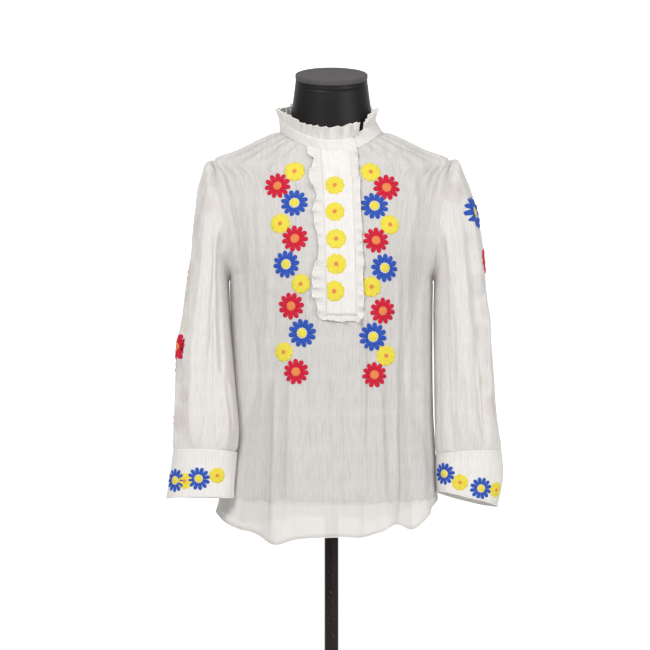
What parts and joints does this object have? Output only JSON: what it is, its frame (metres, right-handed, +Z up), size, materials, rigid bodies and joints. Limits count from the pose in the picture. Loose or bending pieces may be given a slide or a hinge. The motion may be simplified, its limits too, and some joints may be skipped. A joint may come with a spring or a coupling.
{
  "type": "blouse with embroidered flowers, worn on a limbless dress form with a stand",
  "caption": "Sheer crinkled cotton blouse with stand collar, ruffled placket, full sleeves and curved hem, on a limbless dress form on a round stand.",
  "frame": {"origin": "centre of the stand's underside, on the floor", "axes": "+Z up along the pole, front of the blouse faces -Y, +X to the viewer's right"},
  "size_m": [0.5639, 0.3, 1.4695],
  "materials": {
    "crinkled_cotton": "matte sheer crinkled cotton gauze",
    "form_black": "smooth satin black shell",
    "cap_grey": "satin dark grey neck cap",
    "stand_black": "satin black paint"
  },
  "bodies": {
    "root": {"front": "crinkled_cotton", "back": "crinkled_cotton", "sleeve_left": "crinkled_cotton", "sleeve_right": "crinkled_cotton", "cuff_left": "crinkled_cotton", "cuff_right": "crinkled_cotton", "collar_band": "crinkled_cotton", "collar_ruffle": "crinkled_cotton", "placket": "crinkled_cotton", "placket_ruffle": "crinkled_cotton", "form_torso": "form_black", "form_cap": "cap_grey", "stand_pole": "stand_black", "stand_base": "stand_black"}
  },
  "joints": []
}
